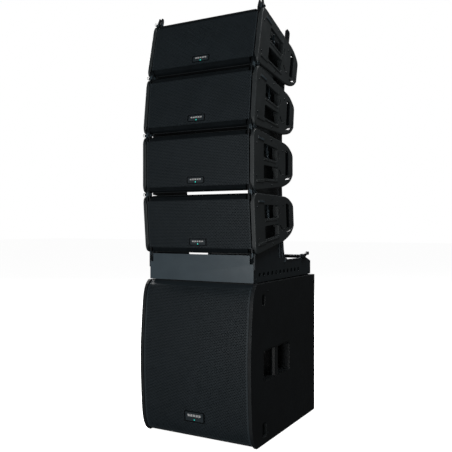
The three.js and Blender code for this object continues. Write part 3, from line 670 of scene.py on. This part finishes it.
def sub_grille():
    """The bowed perforated face, folded back at top and bottom, with the foam behind it."""
    inset, width = 0.0035, 0.4788
    outline = [(SUB_FRONT - d, z) for d, z in reversed(BULGE) if 0.012 < z < SUB_TOP - 0.008]
    rows = round(0.58 / (HOLE_PITCH * 0.866))
    full = smooth_line([(y + inset, z) for y, z in outline], 2 * rows + 1)
    build = Build()
    border = 0.006
    columns = round((width - 2 * border) / HOLE_PITCH - 0.5)
    perforated(build, width - 2 * border, full, columns)
    front = [(y, z) for y, z, _, _ in full]
    rear = [(y - ny * SHEET, z - nz * SHEET) for y, z, ny, nz in full]
    for s in (-1, 1):
        build.prism(front[::4] + rear[::-4], "x", sorted((s * (width / 2 - border), s * width / 2)))
    # The sheet turns back at top and bottom.
    y_back = SUB_FRONT + 0.0075
    for end, edge_z in ((full[-1], SUB_TOP - 0.003), (full[0], 0.006)):
        step = 0.0026 if edge_z < 0.1 else -0.0026
        y, z = end[0], end[1]
        build.prism([(y, z), (y_back, edge_z), (y_back, edge_z + step), (y + 0.002, z + step)],
                    "x", (-width / 2, width / 2))
    build.piece("sub_face", "grille", "base", instead_of=["sub_grille"])
    foam = Build()
    front = [(y - ny * 0.004, z - nz * 0.004) for y, z, ny, nz in full[2:-2:4]]
    rear = [(y - ny * 0.009, z - nz * 0.009) for y, z, ny, nz in full[2:-2:4]]
    foam.prism(front + rear[::-1], "x", (-width / 2 + 0.002, width / 2 - 0.002))
    foam.piece("sub_foam", "foam", "base")


def sub_fittings():
    """Socket rings and contacts, screws and lights on the rear panel, and the screws in the sides."""
    face = SUB_PANEL + 0.0032
    metal = Build()
    for x, r in ((-0.090, 0.0118), (-0.040, 0.0095), (0.010, 0.0095)):
        for z in (0.290, 0.250):
            metal.ring((x, face + 0.0028, z), (0, 1, 0), r, 0.0012)
            for k in range(3):
                a, reach = math.radians(90 + 120 * k), r * 0.45
                metal.rod("y", x + reach * math.cos(a), z + reach * math.sin(a), 0.0013,
                          (face - 0.010, face), 8)
    for x in (-0.138, 0, 0.138):
        for z in (0.142, 0.32, 0.498):
            if x or z != 0.32:
                screw(metal, "y", x, z, face, 1, SCREW["sub_panel"])
    metal.piece("sub_panel_metal", "bright_steel", "base")
    lamps = Build()
    for k in range(4):
        lamps.rod("y", 0.100, 0.296 - 0.012 * k, 0.0015, (face, face + 0.0013), 10, 0.0003)
    lamps.piece("sub_panel_lights", "led", "base")
    screws = Build()
    for s in (-1, 1):
        for y in (-0.18, 0.30):
            for z in (0.04, 0.6):
                screw(screws, "x", y, z, s * SUB_HALF, s, SCREW["sub_side"])
    screws.piece("sub_side_screws", "nylon", "base")


def make_sub():
    """The subwoofer: finishes for its CAD nodes, and its fine pieces."""
    for node, material, edge in (("sub_cabinet", "bass_shell", 0.0018), ("sub_driver", "woofer", 0),
                                 ("sub_amplifier", "electronics", 0.0005), ("sub_knob", "rubber", 0.0005),
                                 ("sub_grip_left", "grip", 0.0012), ("sub_grip_right", "grip", 0.0012),
                                 ("sub_runner_left", "rubber", 0.0008),
                                 ("sub_runner_right", "rubber", 0.0008)):
        dress(node, material, edge)
    sub_grille()
    lo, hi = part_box("sub_badge")
    lean = math.atan2(10, 110)
    centre = Vector((0, (lo.y + hi.y) / 2 + 0.0015, (lo.z + hi.z) / 2))
    badge = Matrix.Translation(centre) @ Matrix.Rotation(lean, 4, "X")
    nameplate("sub", badge, 0.092, 0.043, 0.003, "base", "sub_badge")
    sub_fittings()


# ---------------------------------------------------------------- ground frame
def make_frame():
    """The ground frame: finishes for its CAD nodes, and its fine pieces."""
    # The frame body is coloured darker than its front: painted shade on its sides.
    dress("frame_body", "frame", 0.0007)
    dress("frame_crossbar", "rigging", 0.0006)
    dress("frame_lever", "rigging", 0.0006)
    front, foot, notch, crest = FRAME["front"], FRAME["foot"], FRAME["notch"], FRAME["crest"]
    half, notch_x = FRAME["half"], FRAME["notch_x"]
    # A lighter skin over the frame's front face: painted light on the front.
    panel = Build()
    panel.prism([(-half, foot), (half, foot), (half, notch), (notch_x, notch), (notch_x, crest),
                 (-notch_x, crest), (-notch_x, notch), (-half, notch)], "y", (front - 0.0012, front - 0.0001))
    panel.piece("frame_front_panel", "frame_front_painted_light", "base", bevel=0.0004)

    # Ribs and a flange lip on the frame sides, coloured lighter than the frame: painted highlight along their
    # edges.
    ribs = Build()
    proud = 0.0035
    for s in (-1, 1):
        face = sorted((s * half, s * (half + proud)))
        for y in (-0.014, -0.040):
            ribs.prism([(y, 0.722), (y + 0.005, 0.722), (y - 0.001, 0.806), (y - 0.006, 0.804)], "x", face)
        ribs.block(face, (0.046, 0.188), (0.7085, 0.7118))
        ribs.prism([(0.010, 0.700), (0.018, 0.700), (0.034, 0.7165), (0.028, 0.7190)], "x", face)
    ribs.piece("frame_ribs", "frame_rib_painted_highlight", "base", bevel=0.0006)

    # Dark sheets in the gaps by the front notch and a web behind the side holes: they block light, and their
    # dark colour is painted shade.
    shade_sheets = Build()
    for s in (-1, 1):
        shade_sheets.block(sorted((s * 0.2040, s * 0.2358)), (-0.2580, -0.2550), (0.7062, 0.733))
        shade_sheets.block(sorted((s * 0.2258, s * 0.2402)), (-0.2777, -0.2773), (0.7066, 0.727))
        shade_sheets.block(sorted((s * 0.2256, s * 0.2284)), (-0.2777, -0.2773), (0.7064, 0.7385))
        shade_sheets.block(sorted((s * 0.2177, s * 0.2190)), (-0.262, 0.296), (0.640, 0.690))
    shade_sheets.piece("frame_guards", "trim_and_painted_shade", "base", bevel=0.0003)

    bolts = Build()
    for s in (-1, 1):
        for y in (-0.255, 0.285):
            screw(bolts, "x", y, 0.646, s * half, s, SCREW["frame"])
    bolts.piece("frame_bolts", "nylon", "base")

    # Dark sleeves inside the side holes: painted shade in the holes.
    shade_sleeves = Build()
    inner, outer = 0.0073, 0.0084
    for s in (-1, 1):
        for k in range(FRAME["holes"]):
            y = FRAME["first_hole"] + k * FRAME["hole_pitch"]
            shade_sleeves.sleeve("x", y, FRAME["hole_z"], inner, outer, (s * (half - 0.0048), s * (half - 0.0002)))
    shade_sleeves.piece("frame_hole_bushes", "trim_and_painted_shade", "base")


# ------------------------------------------------------------ camera and light
def area(name, place, target, size, power):
    """A soft rectangular light turned towards target."""
    data = bpy.data.lights.new(name, "AREA")
    data.shape = "RECTANGLE"
    data.size, data.size_y = size
    data.energy = power
    lamp = bpy.data.objects.new(name, data)
    lamp.location = place
    lamp.rotation_euler = (Vector(target) - Vector(place)).to_track_quat("-Z", "Y").to_euler()
    bpy.context.scene.collection.objects.link(lamp)


def make_studio():
    """Pale floor and background, soft lights and the camera."""
    scene = bpy.context.scene
    scene.view_settings.view_transform = "Standard"
    camera = bpy.data.objects.new("camera", bpy.data.cameras.new("camera"))
    camera.data.sensor_width = 36
    camera.data.lens = CAMERA_LENS
    camera.location = CAMERA_AT
    camera.rotation_euler = (math.radians(90), 0, math.radians(CAMERA_TURN))
    scene.collection.objects.link(camera)
    scene.camera = camera

    floor, far = Build(), FLOOR_REACH
    floor.faces([(-far, -far, 0), (far, -far, 0), (far, far, 0), (-far, far, 0)], [(0, 1, 2, 3)])
    mesh = bpy.data.meshes.new("floor")
    floor.bm.to_mesh(mesh)
    floor.bm.free()
    plane = bpy.data.objects.new("floor", mesh)
    scene.collection.objects.link(plane)
    paper = Shader("floor", (0.9, 0.9, 0.9), 0.9, specular=0.1)
    paper.bsdf.inputs["Emission Color"].default_value = (1, 1, 1, 1)
    paper.bsdf.inputs["Emission Strength"].default_value = FLOOR_GLOW
    mesh.materials.append(paper.mat)
    plane.visible_diffuse = plane.visible_glossy = False

    world = bpy.data.worlds.new("studio")
    world.use_nodes = True
    scene.world = world
    nodes, links = world.node_tree.nodes, world.node_tree.links
    back = nodes["Background"]
    back.inputs["Color"].default_value = (1, 1, 1, 1)
    seen = nodes.new("ShaderNodeLightPath")
    level = nodes.new("ShaderNodeMapRange")
    level.inputs["To Min"].default_value = FILL
    level.inputs["To Max"].default_value = 1.0
    links.new(seen.outputs["Is Camera Ray"], level.inputs["Value"])
    links.new(level.outputs["Result"], back.inputs["Strength"])

    for light in LIGHTS:
        area(*light)


make_studio()
make_sub()
make_frame()
for number in MODULES:
    make_module(number)
